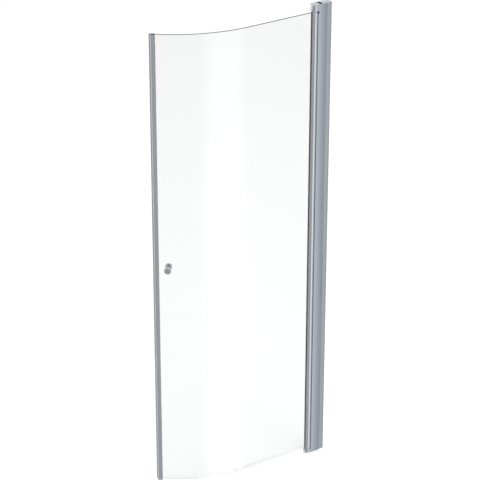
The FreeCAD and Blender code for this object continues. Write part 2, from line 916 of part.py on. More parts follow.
# Knobs: two turned knobs on one stud through the glass, y is the axis of the stud
knob_place = {"x": knob_x, "y": knob_y, "z": size.knob_height, "turn": -knob_turn}
washer_bow = size.knob_washer_radius * size.knob_washer_radius / size.bend_radius
washer_seat = glass_half + washer_bow
knob_back = washer_seat + size.knob_washer_thickness
knob_face = knob_back + size.knob_length
neck_end = knob_back + size.knob_neck_length
bore_end = knob_back + size.knob_bore_depth
for label, side in (("outer_knob", -1), ("inner_knob", 1)):
    knob = new_body(label, **knob_place)
    section = sketch_on(knob)
    outline(
        section,
        (0, side * bore_end),
        (size.stud_radius, side * bore_end),
        (size.stud_radius, side * knob_back),
        (size.knob_neck_radius, side * knob_back),
        (size.knob_neck_radius, side * neck_end),
        (size.knob_radius - size.knob_edge, side * neck_end),
        (size.knob_radius, side * (neck_end + size.knob_edge)),
        (size.knob_radius, side * (knob_face - size.knob_edge)),
        (size.knob_radius - size.knob_edge, side * knob_face),
        (size.knob_dish_radius, side * knob_face),
        (0, side * (knob_face - size.knob_dish_depth)),
    )
    revolve(knob, section)

knob_stud = new_body("knob_stud", **knob_place)
section = sketch_on(knob_stud)
rectangle(section, 0, -bore_end, size.stud_radius, bore_end)
revolve(knob_stud, section)

knob_sleeve = new_body("knob_sleeve", **knob_place)
section = sketch_on(knob_sleeve)
rectangle(section, size.stud_radius, -glass_half, size.sleeve_radius, glass_half)
revolve(knob_sleeve, section)

knob_washers = new_body("knob_washers", **knob_place)
section = sketch_on(knob_washers)
for side in (-1, 1):
    rectangle(
        section,
        size.stud_radius,
        side * washer_seat,
        size.knob_washer_radius,
        side * knob_back,
    )
revolve(knob_washers, section)

doc.recompute()
for item in doc.Objects:
    if {"Invalid", "Error"} & set(item.State):
        raise RuntimeError(f"{item.Label} is in error")
for node in nodes:
    if node.Shape.isNull() or not node.Shape.isValid():
        raise RuntimeError(f"{node.Label} has no sound shape")
    node.Shape.exportStep(f"parts/{node.Label}.step")
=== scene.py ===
import math

import bmesh
import bpy
from mathutils import Matrix, Vector
from mathutils.geometry import tessellate_polygon


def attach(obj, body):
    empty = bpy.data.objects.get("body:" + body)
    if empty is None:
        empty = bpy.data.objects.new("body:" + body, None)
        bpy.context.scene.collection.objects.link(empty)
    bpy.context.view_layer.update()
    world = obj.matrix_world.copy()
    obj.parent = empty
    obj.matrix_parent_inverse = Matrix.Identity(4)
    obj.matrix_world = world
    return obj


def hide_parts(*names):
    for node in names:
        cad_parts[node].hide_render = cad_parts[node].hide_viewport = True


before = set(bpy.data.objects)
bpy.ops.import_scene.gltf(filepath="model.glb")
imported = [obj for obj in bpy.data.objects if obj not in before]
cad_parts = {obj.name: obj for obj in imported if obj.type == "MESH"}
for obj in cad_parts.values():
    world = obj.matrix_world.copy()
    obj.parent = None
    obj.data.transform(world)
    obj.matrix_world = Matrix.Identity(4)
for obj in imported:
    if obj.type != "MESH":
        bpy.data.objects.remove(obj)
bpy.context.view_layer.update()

# Wall rail: an extruded aluminium channel, satin anodised, screwed flat to the wall
# through the four holes in its back. The post slides over its two arms, so only an
# outer strip and the sawn ends are seen.
MILLIMETRE = 0.001
DOOR_HEIGHT = 2000
RAIL_HALF, RAIL_DEPTH, RAIL_WALL = 13.5, 43, 2
RAIL_CORNER = 0.4
SAWN_ARRIS = 0.3
WALL_HOLE_LEVELS = (100, 700, 1300, 1900)
WALL_HOLE_RADIUS = 2.75
CLAMP_LEVELS = (200, 1000, 1800)
CLAMP_REACH = -36
CLAMP_RADIUS = 2.5
RAIL_DARK, RAIL_LIGHT = (0.44, 0.482, 0.537, 1), (0.505, 0.547, 0.602, 1)
DRILL_LENGTH = 4 * RAIL_WALL
SHARP_ANGLE = 35
LINES_SHARE, CLOUDS_SHARE, GRAIN_SHARE = 0.6, 0.4, 0.5
SATIN_ROUGHNESS, LINES_ROUGHNESS, GRAIN_ROUGHNESS = 0.33, 0.08, 0.04
SATIN_RELIEF = 0.00002
MIX_FACTOR, MIX_FIRST, MIX_SECOND, MIX_COLOUR = 0, 6, 7, 2


class Tone:
    """A socket of a finish: sums and products with it add Math nodes to its tree."""

    def __init__(self, socket):
        self.socket = socket
        self.tree = socket.id_data

    def node(self, kind, settings, inputs, output=0):
        """Any node: its settings are set first, then its sockets get values or links."""
        made = self.tree.nodes.new(kind)
        for name, value in settings.items():
            setattr(made, name, value)
        for name, value in inputs.items():
            if isinstance(value, Tone):
                self.tree.links.new(value.socket, made.inputs[name])
            else:
                made.inputs[name].default_value = value
        return Tone(made.outputs[output])

    def math(self, operation, first, second):
        """A Math node on two values, one of them at least a tone."""
        return self.node("ShaderNodeMath", {"operation": operation}, {0: first, 1: second})

    def __add__(self, other):
        return self.math("ADD", self, other)

    def __sub__(self, other):
        return self.math("SUBTRACT", self, other)

    def __mul__(self, other):
        return self.math("MULTIPLY", self, other)

    def __rsub__(self, other):
        return self.math("SUBTRACT", other, self)

    __radd__ = __add__
    __rmul__ = __mul__

    def drawn(self, scale):
        """The point on the surface with its height scaled: below one, patterns run up and down."""
        inputs = {0: self, 1: (1, 1, scale)}
        return self.node("ShaderNodeVectorMath", {"operation": "MULTIPLY"}, inputs)

    def noise(self, scale, detail=2.0):
        """Cloudy values about one half, this many to the metre."""
        return self.node("ShaderNodeTexNoise", {}, {"Vector": self, "Scale": scale, "Detail": detail})

    def spread(self, low=0.3, high=0.7):
        """The part of the value from low to high, drawn out to run from nought to one."""
        return self.node("ShaderNodeMapRange", {}, {"Value": self, "From Min": low, "From Max": high})

    def tint(self, dark, light):
        """A colour between two, by this value."""
        inputs = {MIX_FACTOR: self, MIX_FIRST: dark, MIX_SECOND: light}
        return self.node("ShaderNodeMix", {"data_type": "RGBA"}, inputs, MIX_COLOUR)

    def bump(self, height):
        """A normal for relief of this height in metres."""
        return self.node("ShaderNodeBump", {}, {"Height": self, "Distance": height, "Strength": 1.0})


def new_finish(name, **constants):
    """A material, its shader, and the point on the surface in the shared frame."""
    material = bpy.data.materials.new(name)
    material.use_nodes = True
    shader = material.node_tree.nodes["Principled BSDF"]
    for socket, value in constants.items():
        shader.inputs[socket.replace("_", " ")].default_value = value
    coordinates = material.node_tree.nodes.new("ShaderNodeTexCoord")
    return material, shader, Tone(coordinates.outputs["Object"])


def feed(shader, **tones):
    """Link tones to the sockets of a shader."""
    for socket, tone in tones.items():
        tone.tree.links.new(tone.socket, shader.inputs[socket.replace("_", " ")])


def aluminium(name, dark, light, roughness):
    """Anodised extrusion: fine grain, with faint lines drawn along the length."""
    material, shader, point = new_finish(name, Metallic=1.0)
    lines = point.drawn(0.004).noise(420, detail=3)
    grain = point.drawn(0.3).noise(2600, detail=1)
    clouds = point.drawn(0.25).noise(14)
    feed(
        shader,
        Base_Color=(lines * LINES_SHARE + clouds * CLOUDS_SHARE).spread().tint(dark, light),
        Roughness=roughness + lines.spread() * LINES_ROUGHNESS + grain * GRAIN_ROUGHNESS,
        Normal=(lines + grain * GRAIN_SHARE).bump(SATIN_RELIEF),
    )
    return material


def rounded(corners, radius, steps=4):
    """Plan outline with turned corners; a third number gives a corner its own radius."""
    points = []
    for index, (x, y, *own) in enumerate(corners):
        here = Vector((x, y))
        turn = own[0] if own else radius
        if turn == 0:
            points.append(here)
            continue
        before = (Vector(corners[index - 1][:2]) - here).normalized()
        after = (Vector(corners[(index + 1) % len(corners)][:2]) - here).normalized()
        half = before.angle(after) / 2
        centre = here + (before + after).normalized() * turn / math.sin(half)
        start = here + before * turn / math.tan(half) - centre
        sweep = start.angle_signed(here + after * turn / math.tan(half) - centre)
        for step in range(steps + 1):
            points.append(centre + Matrix.Rotation(-sweep * step / steps, 2) @ start)
    return points


def arc(x, y, radius, start, stop, steps):
    """Points of an arc, with angles in degrees, as corners that stay as they are."""
    angles = [math.radians(start + (stop - start) * step / steps) for step in range(steps + 1)]
    return [(x + radius * math.cos(angle), y + radius * math.sin(angle), 0) for angle in angles]


def inset(points, reach):
    """An anticlockwise outline moved inwards."""
    moved = []
    for index, here in enumerate(points):
        along = (here - points[index - 1]).normalized()
        onward = (points[(index + 1) % len(points)] - here).normalized()
        normals = Vector((-along.y, along.x)) + Vector((-onward.y, onward.x))
        moved.append(here + normals * 2 * reach / normals.length_squared)
    return moved


def anticlockwise(points):
    """The outline in the order that keeps its inside on the left."""
    area = sum(a.cross(b) for a, b in zip(points[-1:] + points[:-1], points))
    return points if area > 0 else points[::-1]


def extrude(outlines, low, high, arris):
    """A length of profile: the first outline is its skin, the others are its hollows."""
    shape = bmesh.new()
    ends = ([], [])
    for number, outline in enumerate(outlines):
        outline = anticlockwise([Vector(point[:2]) for point in outline])
        trimmed = inset(outline, arris if number == 0 else -arris)
        levels = ((trimmed, low), (outline, low + arris), (outline, high - arris), (trimmed, high))
        loops = [[shape.verts.new((*point, z)) for point in points] for points, z in levels]
        for lower, upper in zip(loops, loops[1:]):
            for index in range(len(lower)):
                shape.faces.new((lower[index - 1], lower[index], upper[index], upper[index - 1]))
        ends[0].append(loops[0])
        ends[1].append(loops[-1])
    for loops in ends:
        corners = [corner for loop in loops for corner in loop]
        for triangle in tessellate_polygon([[corner.co for corner in loop] for loop in loops]):
            shape.faces.new([corners[index] for index in triangle])
    bmesh.ops.recalc_face_normals(shape, faces=shape.faces)
    return shape


def add_rod(shape, centre, axis, radius, length, sides=32):
    """A plain rod, centred on a point, for cutting holes."""
    turn = Vector((0, 0, 1)).rotation_difference(Vector(axis)).to_matrix().to_4x4()
    bmesh.ops.create_cone(
        shape, cap_ends=True, segments=sides, radius1=radius, radius2=radius, depth=length,
        matrix=Matrix.Translation(centre) @ turn,
    )


def to_mesh(name, shape):
    """Turn a drawing in millimetres into a mesh in metres."""
    shape.transform(Matrix.Scale(MILLIMETRE, 4))
    mesh = bpy.data.meshes.new(name)
    shape.to_mesh(mesh)
    shape.free()
    return mesh


def new_piece(name, shape, finish, body, slot, *nodes, cutter=None):
    """Put a piece on its body in place of its CAD nodes, with any holes cut."""
    piece = bpy.data.objects.new(name, to_mesh(name, shape))
    bpy.context.scene.collection.objects.link(piece)
    if cutter is not None:
        tool = bpy.data.objects.new("cutter", to_mesh("cutter", cutter))
        bpy.context.scene.collection.objects.link(tool)
        cut = piece.modifiers.new("holes", "BOOLEAN")
        cut.object = tool
        cut.solver = "MANIFOLD"
        drilled = piece.evaluated_get(bpy.context.evaluated_depsgraph_get())
        mesh = bpy.data.meshes.new_from_object(drilled)
        piece.modifiers.clear()
        piece.data = mesh
        bpy.data.objects.remove(tool)
    piece.data.materials.clear()
    piece.data.materials.append(finish)
    piece.data.shade_smooth()
    piece.data.set_sharp_from_angle(angle=math.radians(SHARP_ANGLE))
    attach(piece, body)
    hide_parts(*nodes)
    return piece


rail_satin = aluminium("rail_aluminium", RAIL_DARK, RAIL_LIGHT, SATIN_ROUGHNESS)
rail_outline = rounded(
    [
        (0, -RAIL_HALF),
        (0, RAIL_HALF),
        (-RAIL_DEPTH, RAIL_HALF),
        (-RAIL_DEPTH, RAIL_HALF - RAIL_WALL),
        (-RAIL_WALL, RAIL_HALF - RAIL_WALL),
        (-RAIL_WALL, RAIL_WALL - RAIL_HALF),
        (-RAIL_DEPTH, RAIL_WALL - RAIL_HALF),
        (-RAIL_DEPTH, -RAIL_HALF),
    ],
    RAIL_CORNER,
)
rail_holes = bmesh.new()
for level in WALL_HOLE_LEVELS:
    add_rod(rail_holes, (0, 0, level), (1, 0, 0), WALL_HOLE_RADIUS, DRILL_LENGTH)
for level in CLAMP_LEVELS:
    add_rod(rail_holes, (CLAMP_REACH, RAIL_HALF, level), (0, 1, 0), CLAMP_RADIUS, DRILL_LENGTH)
new_piece(
    "rail_extrusion", extrude([rail_outline], 0, DOOR_HEIGHT, SAWN_ARRIS), rail_satin,
    "wall_mount", "satin_aluminium", "wall_profile", cutter=rail_holes,
)

# Clamp screws: three stainless socket screws with plain washers, threaded into the
# rail's shower-side arm. They hold the post where it was set against the wall.
STEEL_DARK, STEEL_LIGHT = (0.46, 0.46, 0.46, 1), (0.62, 0.62, 0.63, 1)
STEEL_ROUGHNESS, MARKS_ROUGHNESS, STEEL_RELIEF = 0.22, 0.16, 0.00001
SHOWER_SIDE = 16
WASHER_THICKNESS = 1
HEAD_RADIUS, HEAD_HEIGHT, HEAD_ROUND = 4.5, 2.6, 0.8
SHANK_LENGTH = 5.5
SCREW_SIDES = 40
SOCKET_RADIUS, SOCKET_DEPTH = 1.75, 1.4


def stainless_steel():
    """Turned steel: fine tool marks and a slight smear of handling."""
    material, shader, point = new_finish("stainless_steel", Metallic=1.0)
    marks = point.noise(1800, detail=3)
    smear = point.noise(160)
    feed(
        shader,
        Base_Color=smear.spread(0.35, 0.65).tint(STEEL_DARK, STEEL_LIGHT),
        Roughness=STEEL_ROUGHNESS + marks * MARKS_ROUGHNESS,
        Normal=marks.bump(STEEL_RELIEF),
    )
    return material


def lathe(profile, sides):
    """A turned form about the z axis, from (radius, height) pairs."""
    shape = bmesh.new()
    rings = []
    for radius, height in profile:
        if radius == 0:
            rings.append([shape.verts.new((0, 0, height))] * sides)
            continue
        angles = [2 * math.pi * side / sides for side in range(sides)]
        ring = [(radius * math.cos(angle), radius * math.sin(angle), height) for angle in angles]
        rings.append([shape.verts.new(point) for point in ring])
    for lower, upper in zip(rings, rings[1:]):
        for side in range(sides):
            corners = (lower[side - 1], lower[side], upper[side], upper[side - 1])
            shape.faces.new(list(dict.fromkeys(corners)))
    bmesh.ops.recalc_face_normals(shape, faces=shape.faces)
    return shape


def quarter(radius, height, round_radius, steps=5):
    """Rounded outer corner of a turned form, up to this height and out to this radius."""
    angles = [math.pi / 2 * step / steps for step in range(steps + 1)]
    return [
        (
            radius - round_radius * (1 - math.cos(angle)),
            height - round_radius * (1 - math.sin(angle)),
        )
        for angle in angles
    ]


def copies(make, places):
    """One shape that holds a form at each of several places."""
    whole = bmesh.new()
    for place in places:
        form = make()
        form.transform(place)
        mesh = bpy.data.meshes.new("form")
        form.to_mesh(mesh)
        form.free()
        whole.from_mesh(mesh)
        bpy.data.meshes.remove(mesh)
    return whole


def clamp_screw():
    """A screw with its two ends as whole flat faces."""
    profile = [
        (0, -SHANK_LENGTH),
        (CLAMP_RADIUS, -SHANK_LENGTH),
        (CLAMP_RADIUS, 0),
        (HEAD_RADIUS, 0),
        *quarter(HEAD_RADIUS, HEAD_HEIGHT, HEAD_ROUND),
        (0, HEAD_HEIGHT),
    ]
    screw = lathe(profile, SCREW_SIDES)
    middles = [corner for corner in screw.verts if corner.co.xy.length == 0]
    bmesh.ops.dissolve_verts(screw, verts=middles)
    return screw


def clamp_socket():
    """The cutter for the hexagon in a screw's head."""
    socket = bmesh.new()
    add_rod(socket, (0, 0, HEAD_HEIGHT), (0, 0, 1), SOCKET_RADIUS, 2 * SOCKET_DEPTH, sides=6)
    return socket


def dress(node, finish):
    """Give a CAD node its finish."""
    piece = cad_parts[node]
    piece.data.materials.clear()
    piece.data.materials.append(finish)


steel = stainless_steel()
head_seat = SHOWER_SIDE + WASHER_THICKNESS
to_shower = Matrix.Rotation(-math.pi / 2, 4, "X")
clamp_places = [
    Matrix.Translation((CLAMP_REACH, head_seat, level)) @ to_shower for level in CLAMP_LEVELS
]
new_piece(
    "clamp_screws", copies(clamp_screw, clamp_places), steel, "wall_mount", "stainless_steel",
    "adjusting_screws", cutter=copies(clamp_socket, clamp_places),
)
dress("adjusting_washers", steel)

# Hinge post: the broad extrusion, crowned and satin anodised a shade darker than the rail. The
# faces inside its skirts, which slide over the rail, are painted near black as shade, and the round
# socket for the pivot along its other edge gets a lighter copy of the metal, painted light that
# lifts the shade in the groove. Both lips of the socket are notched just under the head block.
AXIS = -72
POST_HALF, SKIRT_HALF = 15.97, 14
LIP, WEB_BACK, SKIRT_END = 8, 19, 51
CROWN_EDGE, CROWN_RISE, CROWN_STEPS = 15.4, 1.5, 24
BORE, BORE_STEPS = 15, 14
SEAL_HALF, SEAL_FLOOR = 1.5, 17
PORT_REACH, PORT_OFFSET, PORT_RADIUS, PORT_SIDES = 14.5, 12, 2, 24
POST_CORNER = 0.6
SLOT_REACH, SLOT_HALF_RUN, SLOT_HALF, SLOT_STEPS = -35, 7, 2.8, 12
CUTTER_ARRIS = 0.01
NOTCH_DEPTH, NOTCH_LOW, NOTCH_HIGH = 3.5, 1963, 1973.6
SATIN_DARK, SATIN_LIGHT = (0.375, 0.412, 0.462, 1), (0.435, 0.472, 0.522, 1)
# Painted shade: a near-black copy of the aluminium for the faces inside the skirts, where the hollow
# lies in shade.
PAINTED_SHADE_DARK, PAINTED_SHADE_LIGHT = (0.05, 0.052, 0.056, 1), (0.09, 0.093, 0.10, 1)
PAINTED_SHADE_ROUGHNESS = 0.6
# Bright aluminium: the own bright finish of the pivot and closing profiles, and on the faces of the
# socket painted light that lifts the shade in the groove by the pivot.
BRIGHT_DARK, BRIGHT_LIGHT = (0.55, 0.57, 0.615, 1), (0.60, 0.62, 0.665, 1)
BRIGHT_ROUGHNESS = 0.18
INSIDE_MARGIN = 0.1
END_SLOPE = 0.5


def from_axis(corners):
    """Plan points drawn about the hinge axis, moved to their place."""
    return [(AXIS + x, y, *rest) for x, y, *rest in corners]


def circle(x, y, radius, sides):
    """The outline of a round hollow."""
    return arc(x, y, radius, 0, 360 - 360 / sides, sides - 1)


def post_slot():
    """The cutter for one slot, lying flat."""
    outline = [
        *arc(SLOT_HALF_RUN, 0, SLOT_HALF, -90, 90, SLOT_STEPS),
        *arc(-SLOT_HALF_RUN, 0, SLOT_HALF, 90, 270, SLOT_STEPS),
    ]
    return extrude([outline], -RAIL_WALL, RAIL_WALL, CUTTER_ARRIS)


def refinish(piece, finish, picks):
    """Give another finish to the faces that a test picks."""
    piece.data.materials.append(finish)
    for face in piece.data.polygons:
        if picks(face):
            face.material_index = len(piece.data.materials) - 1


def inside_skirts(face):
    """Whether a side face is behind the web and between the skirts."""
    x, y = face.center.xy / MILLIMETRE
    behind_web = x > AXIS + WEB_BACK - INSIDE_MARGIN
    return abs(face.normal.z) < END_SLOPE and behind_web and abs(y) < SKIRT_HALF + INSIDE_MARGIN


def in_socket(face):
    """Whether a side face is in the bore or on the ends of its lips."""
    x, y = face.center.xy / MILLIMETRE
    in_bore = math.hypot(x - AXIS, y) < BORE + INSIDE_MARGIN
    return abs(face.normal.z) < END_SLOPE and (in_bore or x < AXIS + LIP + INSIDE_MARGIN)


satin = aluminium("satin_aluminium", SATIN_DARK, SATIN_LIGHT, SATIN_ROUGHNESS)
# Painted shade: the near-black copy for inside the skirts.
painted_shade = aluminium("painted_shade_aluminium", PAINTED_SHADE_DARK, PAINTED_SHADE_LIGHT, PAINTED_SHADE_ROUGHNESS)
# Painted light in the socket, and the bright finish of the pivot and closing profiles.
bright_and_socket_light = aluminium("bright_aluminium_and_socket_light", BRIGHT_DARK, BRIGHT_LIGHT, BRIGHT_ROUGHNESS)
lip_angle = math.degrees(math.acos(LIP / BORE))
seal_angle = math.degrees(math.asin(SEAL_HALF / BORE))
crown_half = (SKIRT_END - LIP) / 2
crown_radius = (crown_half**2 + CROWN_RISE**2) / (2 * CROWN_RISE)
crown_angle = math.degrees(math.asin(crown_half / crown_radius))
crown_middle = (SKIRT_END + LIP) / 2, crown_radius - CROWN_EDGE - CROWN_RISE
crown = arc(*crown_middle, crown_radius, crown_angle - 90, -crown_angle - 90, CROWN_STEPS)
post_corners = [
    (LIP, POST_HALF),
    (SKIRT_END, POST_HALF),
    (SKIRT_END, SKIRT_HALF),
    (WEB_BACK, SKIRT_HALF),
    (WEB_BACK, -SKIRT_HALF),
    (SKIRT_END, -SKIRT_HALF),
    (SKIRT_END, -CROWN_EDGE),
    *crown[1:-1],
    (LIP, -CROWN_EDGE),
    *arc(0, 0, BORE, -lip_angle, -seal_angle, BORE_STEPS),
    (SEAL_FLOOR, -SEAL_HALF, 0),
    (SEAL_FLOOR, SEAL_HALF, 0),
    *arc(0, 0, BORE, seal_angle, lip_angle, BORE_STEPS),
]
post_outlines = [
    rounded(from_axis(post_corners), POST_CORNER),
    circle(AXIS + PORT_REACH, -PORT_OFFSET, PORT_RADIUS, PORT_SIDES),
    circle(AXIS + PORT_REACH, PORT_OFFSET, PORT_RADIUS, PORT_SIDES),
]
skirt_middle = (POST_HALF + SKIRT_HALF) / 2
upright = Matrix.Rotation(math.pi / 2, 4, "X")
slot_places = [
    Matrix.Translation((SLOT_REACH, skirt_middle, level)) @ upright for level in CLAMP_LEVELS
]
post_cuts = copies(post_slot, slot_places)
bmesh.ops.create_cube(
    post_cuts,
    matrix=Matrix.Translation((AXIS + LIP, 0, (NOTCH_LOW + NOTCH_HIGH) / 2))
    @ Matrix.Diagonal((2 * NOTCH_DEPTH, 3 * POST_HALF, NOTCH_HIGH - NOTCH_LOW, 1)),
)
post = new_piece(
    "post_extrusion", extrude(post_outlines, 0, DOOR_HEIGHT, SAWN_ARRIS), satin,
    "hinge_frame", "satin_aluminium", "hinge_post", cutter=post_cuts,
)
# Painted shade: the faces inside the skirts take the near-black copy of the metal.
refinish(post, painted_shade, inside_skirts)
# Painted light: the bore and the ends of its lips take the lighter, smoother copy, which lifts the
# shade in the groove.
refinish(post, bright_and_socket_light, in_socket)

# Hinge seal: a soft vinyl strip pushed into the groove at the back of the socket, where
# it brushes the pivot so that no water runs out between the two.
VINYL_DARK, VINYL_LIGHT = (0.055, 0.058, 0.062, 1), (0.09, 0.094, 0.10, 1)
VINYL_ROUGHNESS, DUST_ROUGHNESS, VINYL_RELIEF = 0.48, 0.2, 0.00003


def dark_vinyl():
    """Soft black vinyl: a dull skin with fine drag lines and a little dust."""
    material, shader, point = new_finish("dark_vinyl", Specular_IOR_Level=0.4)
    lines = point.drawn(0.01).noise(900, detail=2)
    dust = point.noise(240, detail=4)
    feed(
        shader,
        Base_Color=dust.spread(0.45, 0.75).tint(VINYL_DARK, VINYL_LIGHT),
        Roughness=VINYL_ROUGHNESS + dust * DUST_ROUGHNESS,
        Normal=lines.bump(VINYL_RELIEF),
    )
    return material


vinyl = dark_vinyl()
dress("hinge_seal", vinyl)

# Head block, foot block and rail cap: zinc castings, plated to match the metal. The
# blocks fill the ends of the socket, each held by two screws through the web of the post,
# and the cap is pressed into the top of the rail.
CAST_DARK, CAST_LIGHT = (0.50, 0.52, 0.56, 1), (0.57, 0.59, 0.63, 1)
CAST_ROUGHNESS, FLAKE_ROUGHNESS, CAST_RELIEF = 0.22, 0.08, 0.00002
CAST_EDGE, CAST_SEGMENTS, CAST_ANGLE = 0.0007, 2, 50
WELD_REACH = 0.000001


def cast_silver():
    """Silver plating on a casting: a faint grain under a low orange peel."""
    material, shader, point = new_finish("cast_silver", Metallic=1.0)
    flake = point.noise(3800, detail=1)
    peel = point.noise(700, detail=2)
    feed(
        shader,
        Base_Color=flake.spread().tint(CAST_DARK, CAST_LIGHT),
        Roughness=CAST_ROUGHNESS + flake * FLAKE_ROUGHNESS,
        Normal=peel.bump(CAST_RELIEF),
    )
    return material


def soften(node):
    """Break the sharp edges of a CAD node, as casting does."""
    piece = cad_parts[node]
    joined = piece.modifiers.new("joined", "WELD")
    joined.merge_threshold = WELD_REACH
    edges = piece.modifiers.new("edges", "BEVEL")
    edges.width = CAST_EDGE
    edges.segments = CAST_SEGMENTS
    edges.limit_method = "ANGLE"
    edges.angle_limit = math.radians(CAST_ANGLE)


cast = cast_silver()
for block in ("rail_cap", "head_block", "foot_block"):
    dress(block, cast)
    soften(block)
dress("block_screws", steel)

# Pivot parts: ground steel pins turn in silver-grey acetal plugs. The upper pin is keyed
# in its bush, and the lower pin stands in a cam whose ramps lift the door as it opens.
ACETAL_DARK, ACETAL_LIGHT = (0.34, 0.355, 0.38, 1), (0.44, 0.455, 0.48, 1)
ACETAL_ROUGHNESS, FLOW_ROUGHNESS, ACETAL_RELIEF = 0.36, 0.15, 0.00002


def grey_acetal():
    """Moulded acetal: waxy, silver grey, with faint flow marks."""
    material, shader, point = new_finish("grey_acetal", Subsurface_Weight=0.1)
    flow = point.drawn(0.4).noise(300, detail=3)
    feed(
        shader,
        Base_Color=flow.spread().tint(ACETAL_DARK, ACETAL_LIGHT),
        Roughness=ACETAL_ROUGHNESS + flow * FLOW_ROUGHNESS,
        Normal=flow.bump(ACETAL_RELIEF),
    )
    return material


acetal = grey_acetal()
for plug in ("upper_bush", "lower_cam", "top_bearing", "cam_follower"):
    dress(plug, acetal)
for pin in ("lower_pivot_pin", "upper_pivot_pin"):
    dress(pin, steel)

# Pivot profile: the round extrusion on the hinge edge of the pane, brightened before it
# was anodised. A slot in its nose takes the glass, and its hollows take the acetal plugs.
PIVOT_LOW, GLASS_HIGH = 20, 1968
NOSE, NOSE_STEPS = 14.5, 96
MOUTH_HALF, MOUTH_FLOOR = 5, -6
CORE_RADIUS = 4.5
CHAMBER_RADIUS, CHAMBER_REACH, CHAMBER_OFFSET = 3.2, 6.5, 7.5
HOLLOW_SIDES = 36
MOUTH_CORNER = 0.4

mouth_angle = math.degrees(math.asin(MOUTH_HALF / NOSE))
pivot_corners = [
    *arc(0, 0, NOSE, mouth_angle - 180, 180 - mouth_angle, NOSE_STEPS),
    (MOUTH_FLOOR, MOUTH_HALF, MOUTH_CORNER),
    (MOUTH_FLOOR, -MOUTH_HALF, MOUTH_CORNER),
]
pivot_outlines = [
    rounded(from_axis(pivot_corners), 0),
    circle(AXIS, 0, CORE_RADIUS, HOLLOW_SIDES),
    circle(AXIS + CHAMBER_REACH, -CHAMBER_OFFSET, CHAMBER_RADIUS, HOLLOW_SIDES),
    circle(AXIS + CHAMBER_REACH, CHAMBER_OFFSET, CHAMBER_RADIUS, HOLLOW_SIDES),
]
new_piece(
    "pivot_extrusion", extrude(pivot_outlines, PIVOT_LOW, GLASS_HIGH, SAWN_ARRIS), bright_and_socket_light,
    "door", "satin_aluminium", "pivot_profile",
)

# Glazing gasket: a black vinyl channel rolled into the nose slot. Its two lips stand a
# little proud of the metal and grip the glass, which shows as a thin dark line.
GASKET_HALF, GASKET_BACK, GASKET_FRONT = 4.95, -6.05, -16
PANE_HALF, PANE_SEAT = 3, -7.55
GASKET_ROUND, GASKET_LIP_ROUND = 0.3, 0.9

gasket_corners = [
    (GASKET_FRONT, -GASKET_HALF, GASKET_LIP_ROUND),
    (GASKET_BACK, -GASKET_HALF),
    (GASKET_BACK, GASKET_HALF),
    (GASKET_FRONT, GASKET_HALF, GASKET_LIP_ROUND),
    (GASKET_FRONT, PANE_HALF),
    (PANE_SEAT, PANE_HALF),
    (PANE_SEAT, -PANE_HALF),
    (GASKET_FRONT, -PANE_HALF),
]
gasket_outline = rounded(from_axis(gasket_corners), GASKET_ROUND)
new_piece(
    "pane_channel", extrude([gasket_outline], PIVOT_LOW, GLASS_HIGH, SAWN_ARRIS), vinyl,
    "door", "dark_vinyl", "glazing_gasket",
)

# Glass: one pane of 6 mm toughened glass, flat by the hinge and bent to the free edge,
# with ground edges and one drilled hole for the knobs.
FLAT_RUN, BEND_RADIUS, BEND_ANGLE = 380, 500, 45
GLASS_LOW = 25
PANE_ARRIS = 0.7
PANE_END = 10
KNOB_SETBACK, KNOB_LEVEL = 60, 992
KNOB_HOLE, KNOB_HOLE_SIDES, KNOB_DRILL = 6, 48, 4 * PANE_HALF
GLASS_TINT, GLASS_RELIEF = (0.893, 0.90, 0.897, 1), 0.0006
GROUND_DARK, GROUND_LIGHT = (0.012, 0.014, 0.014, 1), (0.03, 0.034, 0.033, 1)
GROUND_ROUGHNESS, WHEEL_ROUGHNESS, GROUND_RELIEF = 0.35, 0.2, 0.00003
PANE_SLOPE = 0.9


def clear_glass():
    """Clear float glass, slightly grey, with an easy-clean coat on both faces."""
    material, shader, point = new_finish(
        "clear_glass", Base_Color=GLASS_TINT, Transmission_Weight=1.0, IOR=1.5, Roughness=0.0,
        Coat_Weight=1.0, Coat_Roughness=0.0,
    )
    waves = point.drawn(1.6).noise(7, detail=1)
    feed(shader, Normal=waves.bump(GLASS_RELIEF))
    return material


def ground_edge():
    """Ground glass edge: grey-green and matt, with the marks of the wheel."""
    material, shader, point = new_finish("ground_edge", IOR=1.5, Specular_IOR_Level=0.2)
    marks = point.drawn(0.2).noise(1500, detail=2)
    feed(
        shader,
        Base_Color=marks.spread().tint(GROUND_DARK, GROUND_LIGHT),
        Roughness=GROUND_ROUGHNESS + marks * WHEEL_ROUGHNESS,
        Normal=marks.bump(GROUND_RELIEF),
    )
    return material


def turn_at(distance):
    """Angle round the bend, in radians, this far along it from the meeting edge."""
    return math.radians(BEND_ANGLE) - distance / BEND_RADIUS


def along_bend(turn):
    """Plan point on the middle of the pane, and the direction from it into the shower."""
    point = Vector((-FLAT_RUN - BEND_RADIUS * math.sin(turn), BEND_RADIUS * (1 - math.cos(turn))))
    return point, Vector((math.sin(turn), math.cos(turn)))


def door_line(start, last_turn, steps=72):
    """Stations along the door: the flat run from a start, then the bend to its last turn."""
    flat = [(Vector((start, 0)), Vector((0, 1)))]
    return flat + [along_bend(last_turn * step / steps) for step in range(steps + 1)]


def sweep(section, stations):
    """A strip along the door, from a section of (reach into the shower, height) points."""
    shape = bmesh.new()
    rings = [
        [shape.verts.new((*(point + inward * reach), height)) for reach, height in section]
        for point, inward in stations
    ]
    for near, far in zip(rings, rings[1:]):
        for index in range(len(section)):
            shape.faces.new((near[index - 1], near[index], far[index], far[index - 1]))
    for ring in (rings[0], rings[-1]):
        for triangle in tessellate_polygon([[corner.co for corner in ring]]):
            shape.faces.new([ring[index] for index in triangle])
    bmesh.ops.recalc_face_normals(shape, faces=shape.faces)
    return shape


